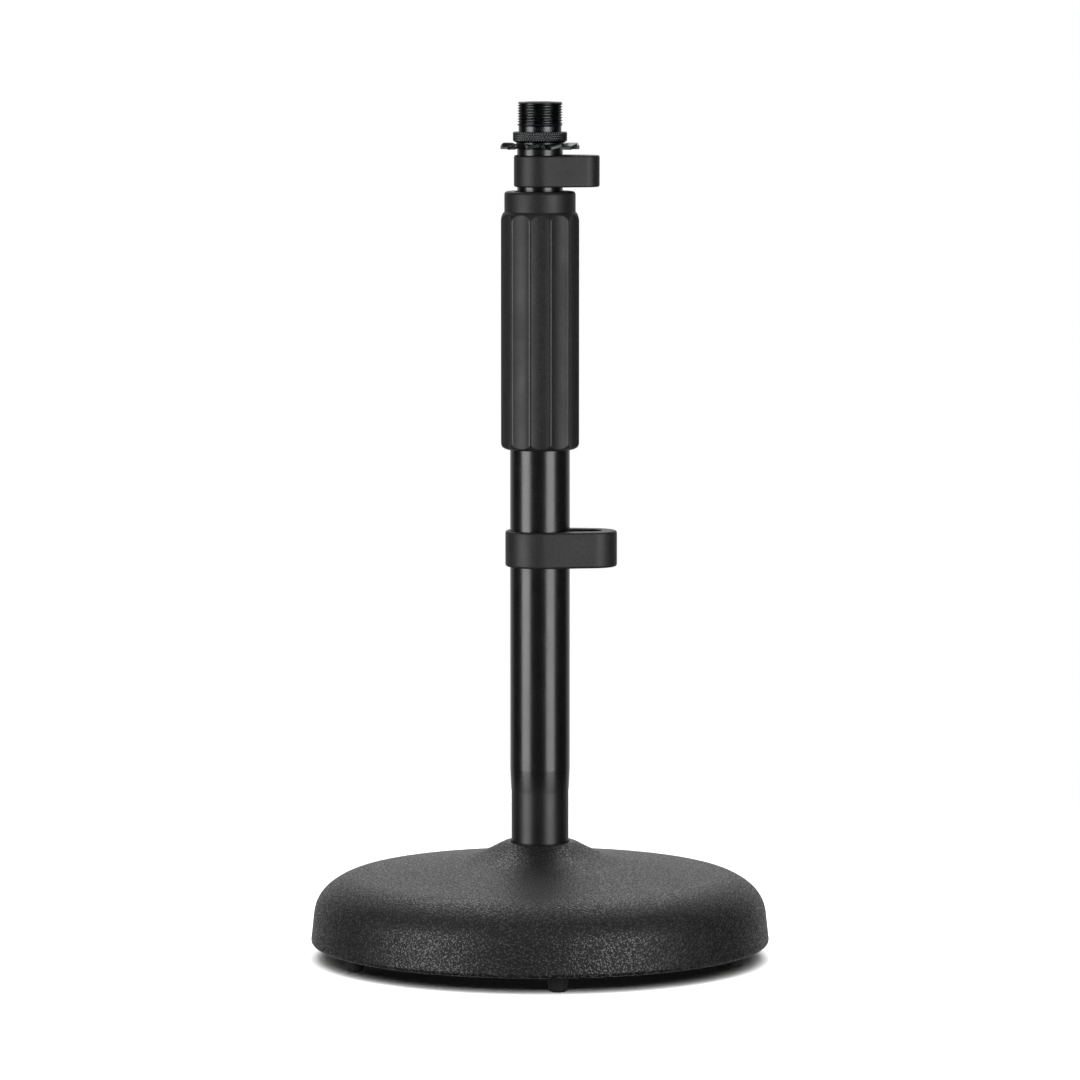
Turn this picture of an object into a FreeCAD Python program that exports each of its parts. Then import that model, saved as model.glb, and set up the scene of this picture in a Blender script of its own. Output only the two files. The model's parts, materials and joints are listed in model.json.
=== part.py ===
import FreeCAD, Part
import math
import os
import Sketcher
import re

# A desktop microphone stand: cast base, telescopic pole with a twist-lock grip, two cable clips and a
# threaded adapter on top. Millimetres and degrees. The origin is on the table, on the pole's axis, +Z up.

V = FreeCAD.Vector

# Driving dimensions. A "height" is above the table; inside a piece, sizes are counted from its own bottom.
SIZES = {
    # cast base: outside
    "base_radius": 81.1,
    "rim_height": 6.0,
    "rim_edge_round": 1.5,
    "shoulder_radius": 79.3,
    "shoulder_height": 22.75,
    "shoulder_round": 13.5,
    "crown_radius": 69.6,
    "crown_height": 29.97,
    "crown_round": 22.5,
    "hub_foot_radius": 24.0,
    "hub_foot_height": 36.2,
    "hub_foot_round": 45.0,
    "hub_radius": 12.6,
    "hub_height": 42.1,
    "hub_edge_round": 1.2,
    # cast base: hollow underside, tube socket and bolt boss
    "rim_inner_radius": 73.5,
    "wall_radius": 72.0,
    "wall_height": 16.0,
    "wall_round": 5.0,
    "roof_edge_radius": 65.0,
    "roof_edge_height": 24.2,
    "roof_edge_round": 12.0,
    "roof_height": 30.8,
    "boss_radius": 18.0,
    "boss_height": 18.0,
    "boss_root_round": 4.0,
    "socket_clearance": 0.15,
    "socket_height": 22.0,
    "bolt_clearance": 0.5,
    # rubber feet and their bosses
    "foot_count": 5,
    "foot_circle": 70.0,
    "foot_phase": -13.0,
    "foot_radius": 3.5,
    "foot_tip_radius": 3.1,
    "foot_edge_round": 0.5,
    "foot_boss_radius": 5.5,
    "foot_boss_top": 24.0,
    "foot_stem_radius": 2.0,
    "foot_stem_length": 6.5,
    "foot_hole_depth": 7.5,
    # bolt and washers under the base (M10)
    "bolt_radius": 5.0,
    "bolt_across_flats": 17.0,
    "bolt_head": 6.4,
    "bolt_head_face": 8.2,
    "bolt_length": 22.0,
    "flat_washer_radius": 10.0,
    "flat_washer": 1.8,
    "spring_washer_radius": 9.0,
    "spring_washer": 2.6,
    "spring_washer_turn": 346.0,
    "plug_length": 20.0,
    # outer tube
    "tube_radius": 10.5,
    "tube_wall": 1.2,
    "tube_top_height": 246.0,
    "swage_radius": 10.1,
    "swage_start": 38.2,
    "swage_end": 46.2,
    "swage_round": 12.0,
    # inner tube, its guide bush and top stud
    "mast_radius": 8.0,
    "mast_wall": 1.1,
    "mast_bottom_height": 100.0,
    "mast_top_height": 286.7,
    "running_gap": 0.05,
    "guide_length": 16.0,
    "guide_lip": 3.0,
    "guide_lip_radius": 6.2,
    "guide_gap": 0.1,
    "stud_radius": 4.7625,
    "stud_length": 13.5,
    "stud_chamfer": 0.8,
    "stud_plug": 20.0,
    # clutch inside the grip
    "bush_stem": 24.0,
    "bush_head": 10.0,
    "bush_head_radius": 11.3,
    "collet_height": 10.0,
    "collet_plain": 3.0,
    "collet_radius": 10.9,
    "collet_tip_radius": 9.3,
    "collet_slit": 1.5,
    # grip
    "grip_height": 181.0,
    "grip_length": 90.6,
    "grip_radius": 14.3,
    "grip_bore_gap": 0.3,
    "grip_bottom_round": 3.2,
    "grip_shoulder": 81.7,
    "grip_shoulder_round": 5.6,
    "band_start": 83.4,
    "band_radius": 12.5,
    "band_round": 1.2,
    "grip_mouth_radius": 9.0,
    "taper_top": 87.6,
    "taper_radius": 11.25,
    "flute_count": 12,
    "flute_phase": 0.5,
    "flute_radius": 11.5,
    "flute_floor": 13.2,
    "ridge_round": 1.2,
    "insert_start": 61.0,
    "insert_length": 16.8,
    "insert_radius": 12.1,
    "insert_gap": 0.08,
    # star washer
    "washer": 1.3,
    "washer_bore": 5.0,
    "washer_radius": 9.3,
    "tooth_count": 10,
    "tooth_phase": 7.0,
    "tooth_root": 8.7,
    "tooth_tip": 13.7,
    "tooth_width": 4.4,
    "tooth_twist": 12.0,
    # thread adapter, 3/8 inch inside and 5/8 inch outside
    "adapter_length": 14.8,
    "adapter_gap": 0.06,
    "seat_radius": 8.3,
    "seat": 0.75,
    "flange_radius": 9.5,
    "flange_top": 4.4,
    "flange_bevel": 0.6,
    "flange_top_bevel": 0.3,
    "neck_radius": 7.5,
    "thread_start": 6.74,
    "thread_radius": 7.9375,
    "thread_bevel": 0.5,
    # cable clips: u for the upper one on the inner tube, l for the lower one on the outer tube
    "u_clip_height": 273.1,
    "u_clip": 11.1,
    "u_outer": 9.15,
    "u_end_centre": 15.0,
    "u_end": 5.9,
    "u_slot": 4.6,
    "u_slot_centre": 13.3,
    "u_slot_end": 3.4,
    "u_edge_round": 0.8,
    "l_clip_height": 139.7,
    "l_clip": 12.7,
    "l_outer": 12.2,
    "l_end_centre": 17.9,
    "l_end": 9.2,
    "l_slot": 6.3,
    "l_slot_centre": 17.2,
    "l_slot_end": 4.7,
    "l_edge_round": 0.9,
    "mouth_reach": 24.0,
    "mouth_from": 72.0,
    "mouth_to": 138.0,
}

doc = FreeCAD.newDocument("desktop_mic_stand")
sheet = doc.addObject("Spreadsheet::Sheet", "Sizes")
for row, (alias, number) in enumerate(SIZES.items(), start=1):
    sheet.set(f"A{row}", str(number))
    sheet.setAlias(f"A{row}", alias)
doc.recompute()

pieces = []


def bound(text):
    """The expression with every size's name pointed at the sheet; function names are left alone."""
    return re.sub(r"\b[a-z]\w*\b(?!\()", r"Sizes.\g<0>", text)


def value(text):
    """What an expression of sizes comes to now."""
    return float(sheet.evalExpression(text))


def bind(item, **properties):
    """Bind an object's properties to expressions; a double underscore in a name stands for a dot."""
    for name, text in properties.items():
        item.setExpression(name.replace("__", "."), bound(text))


def new_body(label, height):
    """An empty body, placed at a height above the table."""
    body = doc.addObject("PartDesign::Body", label)
    body.Label = label
    bind(body, Placement__Base__z=height)
    pieces.append(body)
    return body


def origin_part(body, role):
    """The body's own origin plane or axis with this role."""
    return next(item for item in body.Origin.OriginFeatures if item.Role == role)


def new_sketch(body, name, plane):
    """A sketch on one of the body's own origin planes."""
    sketch = body.newObject("Sketcher::SketchObject", name)
    sketch.AttachmentSupport = (origin_part(body, plane), [""])
    sketch.MapMode = "FlatFace"
    return sketch


def fix_point(sketch, item, spot, across, up):
    """Hold a point of the sketch at a place bound to the sheet."""
    for kind, axis, text in (("DistanceX", -2, across), ("DistanceY", -1, up)):
        if value(text) == 0:
            sketch.addConstraint(Sketcher.Constraint("PointOnObject", item, spot, axis))
        else:
            constraint = Sketcher.Constraint(kind, -1, 1, item, spot, value(text))
            number = sketch.addConstraint(constraint)
            sketch.setExpression(f"Constraints[{number}]", bound(text))


def fix_radius(sketch, item, text):
    """Bind an arc's radius to the sheet."""
    number = sketch.addConstraint(Sketcher.Constraint("Radius", item, value(text)))
    sketch.setExpression(f"Constraints[{number}]", bound(text))


def corner_arc(before, corner, after, radius):
    """The arc that rounds a corner, the places where it starts and ends, and whether it runs clockwise."""
    back = (before - corner).normalize()
    on = (after - corner).normalize()
    half = back.getAngle(on) / 2
    reach = radius / math.tan(half)
    centre = corner + (back + on).normalize() * (radius / math.sin(half))
    start = corner + back * reach
    end = corner + on * reach
    clockwise = back.cross(on).z > 0
    first, last = (end, start) if clockwise else (start, end)
    angles = [math.atan2(place.y - centre.y, place.x - centre.x) for place in (first, last)]
    arc = Part.ArcOfCircle(Part.Circle(centre, V(0, 0, 1), radius), *angles)
    return arc, start, end, clockwise


def outline(sketch, corners):
    """A closed outline through corners (across, up) or, where it is rounded, (across, up, radius)."""
    places = [V(value(corner[0]), value(corner[1]), 0) for corner in corners]
    count = len(corners)
    arcs = {}
    for number, corner in enumerate(corners):
        if len(corner) == 3:
            before, after = places[number - 1], places[(number + 1) % count]
            arcs[number] = corner_arc(before, places[number], after, value(corner[2]))
    lines = []
    for number in range(count):
        following = (number + 1) % count
        start = arcs[number][2] if number in arcs else places[number]
        end = arcs[following][1] if following in arcs else places[following]
        lines.append(sketch.addGeometry(Part.LineSegment(start, end), False))
    for number, corner in enumerate(corners):
        line_in, line_out = lines[number - 1], lines[number]
        if number not in arcs:
            sketch.addConstraint(Sketcher.Constraint("Coincident", line_in, 2, line_out, 1))
            fix_point(sketch, line_out, 1, corner[0], corner[1])
            continue
        arc, _, _, clockwise = arcs[number]
        item = sketch.addGeometry(arc, False)
        spot_in, spot_out = (2, 1) if clockwise else (1, 2)
        sketch.addConstraint(Sketcher.Constraint("Tangent", line_in, 2, item, spot_in))
        sketch.addConstraint(Sketcher.Constraint("Tangent", item, spot_out, line_out, 1))
        fix_radius(sketch, item, corner[2])
        point = sketch.addGeometry(Part.Point(places[number]), True)
        sketch.addConstraint(Sketcher.Constraint("PointOnObject", point, 1, line_in))
        sketch.addConstraint(Sketcher.Constraint("PointOnObject", point, 1, line_out))
        fix_point(sketch, point, 1, corner[0], corner[1])


def settle(body, feature, gain):
    """Make a feature the body's tip; stop unless the volume went up (gain 1) or down (gain -1)."""
    before = body.Shape.Volume if body.Shape.Solids else 0
    body.Tip = feature
    doc.recompute()
    if (body.Shape.Volume - before) * gain <= 0:
        raise RuntimeError(f"{feature.Name} changed nothing")


def turned(label, height, corners, turn="360"):
    """A body turned about its own Z from an outline of (radius, height) corners."""
    body = new_body(label, height)
    sketch = new_sketch(body, f"{label}_outline", "XZ_Plane")
    outline(sketch, corners)
    revolution = body.newObject("PartDesign::Revolution", f"{label}_turned")
    revolution.Profile = sketch
    revolution.ReferenceAxis = (sketch, ["V_Axis"])
    bind(revolution, Angle=turn)
    settle(body, revolution, 1)
    return body


def sleeve(label, height, inner, outer, length, turn="360"):
    """A plain ring or tube."""
    corners = [(inner, "0"), (outer, "0"), (outer, length), (inner, length)]
    return turned(label, height, corners, turn)


def polar(body, feature, name, count, gain):
    """Repeat a feature about the body's Z axis."""
    pattern = body.newObject("PartDesign::PolarPattern", name)
    pattern.Originals = [feature]
    pattern.Axis = (origin_part(body, "Z_Axis"), [""])
    pattern.Angle = 360
    bind(pattern, Occurrences=count)
    settle(body, pattern, gain)
    return pattern


def cylinder(body, kind, name, radius, length, **place):
    """A PartDesign cylinder that adds to the body or cuts it."""
    feature = body.newObject(f"PartDesign::{kind}Cylinder", name)
    bind(feature, Radius=radius, Height=length, **place)
    settle(body, feature, 1 if kind == "Additive" else -1)
    return feature


def level_edges(shape):
    """Names of the edges that lie flat at the top or the bottom of a shape."""
    box = shape.BoundBox
    names = []
    for number, edge in enumerate(shape.Edges, start=1):
        heights = (edge.BoundBox.ZMin, edge.BoundBox.ZMax)
        if any(all(abs(z - end) < 1e-3 for z in heights) for end in (box.ZMin, box.ZMax)):
            names.append(f"Edge{number}")
    return names


def base_casting():
    """The cast base: a shallow dome with a hub, hollow below, with a bolt boss and foot bosses."""
    socket = "swage_radius + socket_clearance"
    bolt_hole = "bolt_radius + bolt_clearance"
    body = turned("base_casting", "0", [
        ("rim_inner_radius", "rim_height"),
        ("base_radius", "rim_height", "rim_edge_round"),
        ("shoulder_radius", "shoulder_height", "shoulder_round"),
        ("crown_radius", "crown_height", "crown_round"),
        ("hub_foot_radius", "hub_foot_height", "hub_foot_round"),
        ("hub_radius", "hub_height", "hub_edge_round"),
        (socket, "hub_height"),
        (socket, "socket_height"),
        (bolt_hole, "socket_height"),
        (bolt_hole, "boss_height"),
        ("boss_radius", "boss_height"),
        ("boss_radius", "roof_height", "boss_root_round"),
        ("roof_edge_radius", "roof_edge_height", "roof_edge_round"),
        ("wall_radius", "wall_height", "wall_round"),
    ])
    place = {
        "Placement__Base__x": "foot_circle * cos(foot_phase)",
        "Placement__Base__y": "foot_circle * sin(foot_phase)",
        "Placement__Base__z": "rim_height",
    }
    boss = cylinder(body, "Additive", "foot_boss", "foot_boss_radius", "foot_boss_top - rim_height", **place)
    polar(body, boss, "foot_bosses", "foot_count", 1)
    hole = cylinder(body, "Subtractive", "foot_hole", "foot_stem_radius", "foot_hole_depth", **place)
    polar(body, hole, "foot_holes", "foot_count", -1)


def rubber_feet():
    """Five rubber buttons, each with a stem pushed into its boss."""
    for number in range(SIZES["foot_count"]):
        foot = turned(f"rubber_foot_{number + 1}", "0", [
            ("0", "0"),
            ("foot_tip_radius", "0", "foot_edge_round"),
            ("foot_radius", "rim_height"),
            ("foot_stem_radius", "rim_height"),
            ("foot_stem_radius", "rim_height + foot_stem_length"),
            ("0", "rim_height + foot_stem_length"),
        ])
        angle = f"foot_phase + 360 / foot_count * {number}"
        bind(foot, Placement__Base__x=f"foot_circle * cos({angle})",
             Placement__Base__y=f"foot_circle * sin({angle})")


def base_bolt():
    """The hexagon bolt, head down, with the usual 30 degree bevel on the head."""
    head = doc.addObject("Part::Prism", "bolt_hexagon")
    head.Polygon = 6
    bind(head, Circumradius="bolt_across_flats / 2 / cos(30)", Height="bolt_head")
    bevel = doc.addObject("Part::Cone", "bolt_bevel")
    face = "bolt_head_face"
    bind(bevel, Radius1=face, Radius2=f"{face} + bolt_head / tan(30)", Height="bolt_head")
    bevelled = doc.addObject("Part::MultiCommon", "bolt_bevelled_head")
    bevelled.Shapes = [head, bevel]
    shank = doc.addObject("Part::Cylinder", "bolt_shank")
    bind(shank, Radius="bolt_radius", Height="bolt_length", Placement__Base__z="bolt_head")
    bolt = doc.addObject("Part::MultiFuse", "base_bolt")
    bolt.Shapes = [bevelled, shank]
    bolt.Label = "base_bolt"
    bind(bolt, Placement__Base__z="boss_height - flat_washer - spring_washer - bolt_head")
    pieces.append(bolt)


def base_fixings():
    """What holds the tube down in its socket: plug, flat washer, spring washer and bolt."""
    sleeve("tube_bottom_plug", "socket_height", "bolt_radius", "swage_radius - tube_wall", "plug_length")
    sleeve("bolt_flat_washer", "boss_height - flat_washer", "bolt_radius", "flat_washer_radius",
           "flat_washer")
    sleeve("bolt_spring_washer", "boss_height - flat_washer - spring_washer", "bolt_radius",
           "spring_washer_radius", "spring_washer", "spring_washer_turn")
    base_bolt()


def outer_tube():
    """The outer tube, reduced a little at its lower end, where it goes into the base."""
    length = "tube_top_height - socket_height"
    turned("outer_tube", "socket_height", [
        ("swage_radius - tube_wall", "0"),
        ("swage_radius", "0"),
        ("swage_radius", "swage_start", "swage_round"),
        ("tube_radius", "swage_end", "swage_round"),
        ("tube_radius", length),
        ("tube_radius - tube_wall", length),
        ("tube_radius - tube_wall", "swage_end", "swage_round"),
        ("swage_radius - tube_wall", "swage_start", "swage_round"),
    ])


def clutch():
    """The bush pressed into the outer tube and the split collet that stands on it."""
    bore = "mast_radius + running_gap"
    top = "bush_stem + bush_head"
    turned("clutch_bush", "tube_top_height - bush_stem", [
        (bore, "0"),
        ("tube_radius - tube_wall", "0"),
        ("tube_radius - tube_wall", "bush_stem"),
        ("bush_head_radius", "bush_stem"),
        ("bush_head_radius", top),
        (bore, top),
    ])
    collet = turned("clutch_collet", "tube_top_height + bush_head", [
        (bore, "0"),
        ("collet_radius", "0"),
        ("collet_radius", "collet_plain"),
        ("collet_tip_radius", "collet_height"),
        (bore, "collet_height"),
    ])
    slit = collet.newObject("PartDesign::SubtractiveBox", "collet_slit_cut")
    bind(slit, Length="collet_radius + 1", Width="collet_slit", Height="collet_height",
         Placement__Base__y="-collet_slit / 2")
    settle(collet, slit, -1)


def grip():
    """The fluted twist sleeve: a turned sleeve cut by round flutes, with the ridges between them eased."""
    bore = "tube_radius + grip_bore_gap"
    insert_end = "insert_start + insert_length"
    body = turned("grip", "grip_height", [
        (bore, "0"),
        ("grip_radius", "0", "grip_bottom_round"),
        ("grip_radius", "grip_shoulder", "grip_shoulder_round"),
        ("band_radius", "band_start"),
        ("band_radius", "grip_length", "band_round"),
        ("grip_mouth_radius", "grip_length"),
        ("grip_mouth_radius", "taper_top"),
        ("taper_radius", insert_end),
        ("insert_radius", insert_end),
        ("insert_radius", "insert_start"),
        (bore, "insert_start"),
    ])
    axis = "flute_floor + flute_radius"
    flute = cylinder(body, "Subtractive", "flute", "flute_radius", "grip_length",
                     Placement__Base__x=f"({axis}) * cos(flute_phase)",
                     Placement__Base__y=f"({axis}) * sin(flute_phase)")
    flutes = polar(body, flute, "flutes", "flute_count", -1)
    ridges = []
    for number, edge in enumerate(flutes.Shape.Edges, start=1):
        start, end = edge.Vertexes[0].Point, edge.Vertexes[-1].Point
        upright = (start - end).Length > SIZES["grip_length"] / 2
        if upright and math.hypot(start.x, start.y) > SIZES["flute_floor"]:
            ridges.append(f"Edge{number}")
    fillet = body.newObject("PartDesign::Fillet", "ridge_rounds")
    fillet.Base = (flutes, ridges)
    bind(fillet, Radius="ridge_round")
    settle(body, fillet, -1)


def grip_thread_insert():
    """The threaded ring moulded into the grip, drawn plain at the thread's crest."""
    sleeve("grip_thread_insert", "grip_height + insert_start", "bush_head_radius + insert_gap",
           "insert_radius", "insert_length")


def mast():
    """The sliding inner tube, the bush on its lower end and the threaded stud in its top."""
    length = "mast_top_height - mast_bottom_height"
    sleeve("inner_tube", "mast_bottom_height", "mast_radius - mast_wall", "mast_radius", length)
    guide = "tube_radius - tube_wall - guide_gap"
    turned("guide_bush", "mast_bottom_height - guide_lip", [
        ("guide_lip_radius", "0"),
        (guide, "0"),
        (guide, "guide_length"),
        ("mast_radius", "guide_length"),
        ("mast_radius", "guide_lip"),
        ("guide_lip_radius", "guide_lip"),
    ])
    top = "stud_plug + stud_length"
    turned("top_stud", "mast_top_height - stud_plug", [
        ("0", "0"),
        ("mast_radius - mast_wall", "0"),
        ("mast_radius - mast_wall", "stud_plug"),
        ("stud_radius", "stud_plug"),
        ("stud_radius", f"{top} - stud_chamfer"),
        ("stud_radius - stud_chamfer", top),
        ("0", top),
    ])


def star_washer():
    """The lock washer: a flat ring with wide teeth, each twisted a little about its own middle."""
    body = sleeve("star_washer", "mast_top_height", "washer_bore", "washer_radius", "washer")
    tooth = body.newObject("PartDesign::AdditiveBox", "tooth")
    half = "tooth_width / 2"
    twist = "tooth_twist"
    bind(tooth, Length="tooth_tip - tooth_root", Width="tooth_width", Height="washer")
    # the box starts at a corner, so the corner is turned about the tooth's middle line by the twist
    drop = f"washer / 2 - ({half} * sin({twist}) + washer / 2 * cos({twist}))"
    shift = f"washer / 2 * sin({twist}) - {half} * cos({twist})"
    bind(tooth, Placement__Base__x=f"tooth_root * cos(tooth_phase) - ({shift}) * sin(tooth_phase)",
         Placement__Base__y=f"tooth_root * sin(tooth_phase) + ({shift}) * cos(tooth_phase)",
         Placement__Base__z=drop)
    spin = FreeCAD.Rotation(V(0, 0, 1), SIZES["tooth_phase"])
    tooth.Placement.Rotation = spin * FreeCAD.Rotation(V(1, 0, 0), SIZES["tooth_twist"])
    settle(body, tooth, 1)
    polar(body, tooth, "teeth", "tooth_count", 1)


def thread_adapter():
    """The adapter: seat, flange, relief neck and the outside thread, drawn plain at its crest."""
    bore = "stud_radius + adapter_gap"
    turned("thread_adapter", "mast_top_height + washer", [
        (bore, "0"),
        ("seat_radius", "0"),
        ("seat_radius", "seat"),
        ("flange_radius - flange_bevel", "seat"),
        ("flange_radius", "seat + flange_bevel"),
        ("flange_radius", "flange_top - flange_top_bevel"),
        ("flange_radius - flange_top_bevel", "flange_top"),
        ("neck_radius", "flange_top"),
        ("neck_radius", "thread_start - thread_radius + neck_radius"),
        ("thread_radius", "thread_start"),
        ("thread_radius", "adapter_length - thread_bevel"),
        ("thread_radius - thread_bevel", "adapter_length"),
        (bore, "adapter_length"),
    ])


def two_circle_outline(sketch, near, centre, far):
    """The outline of a belt round two circles: one on the origin and one further along X."""
    distance = value(centre)
    lean = math.acos((value(near) - value(far)) / distance)
    up = V(0, 0, 1)
    near_circle = Part.Circle(V(0, 0, 0), up, value(near))
    far_circle = Part.Circle(V(distance, 0, 0), up, value(far))
    near_arc = Part.ArcOfCircle(near_circle, lean, 2 * math.pi - lean)
    far_arc = Part.ArcOfCircle(far_circle, -lean, lean)
    items = [
        sketch.addGeometry(near_arc, False),
        sketch.addGeometry(Part.LineSegment(near_arc.EndPoint, far_arc.StartPoint), False),
        sketch.addGeometry(far_arc, False),
        sketch.addGeometry(Part.LineSegment(far_arc.EndPoint, near_arc.StartPoint), False),
    ]
    for item, following in zip(items, items[1:] + items[:1]):
        sketch.addConstraint(Sketcher.Constraint("Tangent", item, 2, following, 1))
    sketch.addConstraint(Sketcher.Constraint("Coincident", items[0], 3, -1, 1))
    fix_radius(sketch, items[0], near)
    fix_point(sketch, items[2], 3, centre, "0")
    fix_radius(sketch, items[2], far)


def pocket(body, sketch, name):
    """Cut a sketch on the XY plane right through the body above it."""
    cut = body.newObject("PartDesign::Pocket", name)
    cut.Profile = sketch
    cut.Type = "ThroughAll"
    cut.Reversed = True
    settle(body, cut, -1)


def cable_clip(label, prefix, tube):
    """A spring clip: a ring on the tube, a closed cable loop beside it and a mouth at the back."""
    body = new_body(label, f"{prefix}_clip_height")
    outside = new_sketch(body, f"{label}_outside", "XY_Plane")
    two_circle_outline(outside, f"{prefix}_outer", f"{prefix}_end_centre", f"{prefix}_end")
    pad = body.newObject("PartDesign::Pad", f"{label}_pad")
    pad.Profile = outside
    bind(pad, Length=f"{prefix}_clip")
    settle(body, pad, 1)
    rounds = body.newObject("PartDesign::Fillet", f"{label}_rounds")
    rounds.Base = (pad, level_edges(pad.Shape))
    bind(rounds, Radius=f"{prefix}_edge_round")
    settle(body, rounds, -1)
    cylinder(body, "Subtractive", f"{label}_bore", f"{tube} + running_gap", f"{prefix}_clip")
    slot = new_sketch(body, f"{label}_slot", "XY_Plane")
    two_circle_outline(slot, f"{prefix}_slot", f"{prefix}_slot_centre", f"{prefix}_slot_end")
    pocket(body, slot, f"{label}_slot_cut")
    mouth = new_sketch(body, f"{label}_mouth", "XY_Plane")
    corners = [("0", "0")]
    for angle in ("mouth_from", "mouth_to"):
        corners.append((f"mouth_reach * cos({angle})", f"mouth_reach * sin({angle})"))
    outline(mouth, corners)
    pocket(body, mouth, f"{label}_mouth_cut")


def write_parts():
    """Check the whole document, then write each piece to its own file."""
    doc.recompute()
    for item in doc.Objects:
        if {"Invalid", "Error"} & set(item.State):
            raise RuntimeError(f"{item.Name} failed: {item.State}")
    for piece in pieces:
        if piece.Shape.isNull() or not piece.Shape.isValid() or len(piece.Shape.Solids) != 1:
            raise RuntimeError(f"{piece.Label} isn't one valid solid")
    os.makedirs("parts", exist_ok=True)
    for piece in pieces:
        piece.Shape.exportStep(os.path.join("parts", f"{piece.Label}.step"))


base_casting()
rubber_feet()
base_fixings()
outer_tube()
clutch()
grip()
grip_thread_insert()
mast()
star_washer()
thread_adapter()
cable_clip("upper_cable_clip", "u", "mast_radius")
cable_clip("lower_cable_clip", "l", "tube_radius")
write_parts()
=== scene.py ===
import json
import math

import bmesh
import bpy
import numpy as np
from bpy.props import FloatProperty, FloatVectorProperty, IntProperty, PointerProperty
from bpy.types import Operator, Panel, PropertyGroup
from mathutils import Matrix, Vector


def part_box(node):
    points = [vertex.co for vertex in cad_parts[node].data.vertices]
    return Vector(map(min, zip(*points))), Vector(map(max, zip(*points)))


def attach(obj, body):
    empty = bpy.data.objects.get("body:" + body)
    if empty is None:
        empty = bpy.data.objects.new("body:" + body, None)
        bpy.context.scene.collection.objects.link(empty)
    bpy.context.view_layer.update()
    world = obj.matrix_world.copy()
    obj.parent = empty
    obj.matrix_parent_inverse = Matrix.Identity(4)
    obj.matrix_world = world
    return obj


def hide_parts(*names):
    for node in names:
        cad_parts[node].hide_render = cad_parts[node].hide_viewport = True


bl_info = {
    "name": "Desktop mic stand",
    "version": (1, 0, 0),
    "blender": (4, 5, 0),
    "location": "3D View > Sidebar > Mic stand",
    "description": "Builds the visible pieces of a desktop microphone stand round its CAD frame",
    "category": "Object",
}

MM = 0.001
INCH = 25.4  # in millimetres
FULL_TURN = 2 * math.pi
THREAD_DEPTH = 0.613  # of a pitch, as on any 60-degree male thread
RUNNING_GAP = 0.05 * MM  # between a bore and the tube that slides or turns in it

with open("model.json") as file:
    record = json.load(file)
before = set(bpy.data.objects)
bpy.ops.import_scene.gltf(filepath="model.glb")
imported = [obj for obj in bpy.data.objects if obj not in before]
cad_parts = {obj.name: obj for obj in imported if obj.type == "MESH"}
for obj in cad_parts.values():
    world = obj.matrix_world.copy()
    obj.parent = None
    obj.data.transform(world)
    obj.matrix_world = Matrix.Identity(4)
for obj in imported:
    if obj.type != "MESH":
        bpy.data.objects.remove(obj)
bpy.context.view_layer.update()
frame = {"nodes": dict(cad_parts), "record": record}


# --- sizes and colours


def linear(hex_text):
    """The linear colour of an sRGB hex value."""
    levels = np.array([int(hex_text[place:place + 2], 16) for place in (1, 3, 5)]) / 255
    return tuple(np.where(levels <= 0.04045, levels / 12.92, ((levels + 0.055) / 1.055) ** 2.4))


def length(name, millimetres, description):
    """A length property, given in millimetres and kept in metres."""
    return FloatProperty(name=name, description=description, default=millimetres * MM,
                         unit="LENGTH", subtype="DISTANCE")


def lengths(name, pair, description):
    """A pair of lengths, given in millimetres and kept in metres."""
    return FloatVectorProperty(name=name, description=description, size=2, unit="LENGTH",
                               default=[value * MM for value in pair])


def angle(name, degrees, description):
    """An angle property, given in degrees and kept in radians."""
    return FloatProperty(name=name, description=description, default=math.radians(degrees),
                         unit="ROTATION", subtype="ANGLE")


def colour(name, hex_text, description):
    """A colour property, given as an sRGB hex value."""
    return FloatVectorProperty(name=name, description=description, default=linear(hex_text),
                               subtype="COLOR", min=0, max=1)


class BaseSizes(PropertyGroup):
    """The cast base and what is fastened under it."""

    draft: length("Side draft", 1.8, "How far the side leans in")
    shoulder_drop: length("Shoulder drop", 19.35, "Depth of the shoulder below the hub")
    shoulder_round: length("Shoulder rounding", 13.5, "Radius of the shoulder's lower part")
    crown_inset: length("Crown inset", 11.5, "Distance of the crown from the rim")
    crown_drop: length("Crown drop", 12.13, "Depth of the crown below the hub")
    crown_round: length("Crown rounding", 22.5, "Radius of the shoulder's upper part")
    hub_foot: length("Hub foot", 24.0, "Radius where the hub runs out")
    hub_foot_drop: length("Hub foot drop", 5.9, "Depth of the hub's foot below its top")
    hub_blend: length("Hub blend", 45.0, "Radius of the hollow between hub and disc")
    hub_radius: length("Hub radius", 12.6, "Radius of the hub's flat top")
    wall: length("Wall", 7.6, "Thickness of the rim")
    boss_radius: length("Bolt boss radius", 18.0, "Radius of the boss under the bolt")
    boss_depth: length("Bolt boss depth", 24.1, "Depth of the boss's face below the hub")
    socket_depth: length("Socket depth", 20.1, "Depth of the tube's socket")
    foot_boss: length("Foot boss radius", 5.5, "Radius of the feet's bosses")
    foot_stem: length("Foot stem radius", 2.0, "Radius of the rubber feet's stems")
    bolt_pitch: length("Bolt pitch", 1.5, "Thread pitch of the M10 bolt")


class TubeSizes(PropertyGroup):
    """The tubes and what is pressed into them."""

    wall: length("Outer tube wall", 1.2, "Thickness of the wall")
    swage: length("Swage", 0.4, "How much the lower end is reduced in radius")
    swage_start: length("Swage start", 38.2, "Height where the outer tube begins to widen")
    swage_end: length("Swage end", 46.2, "Height where the outer tube is full width")
    mast_wall: length("Inner tube wall", 1.1, "Thickness of the wall")
    bush_stem: length("Bush stem", 24.0, "Length of the bush in the outer tube")
    clutch_pitch: length("Clutch pitch", 1.5, "Thread pitch of the clutch bush")


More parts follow.
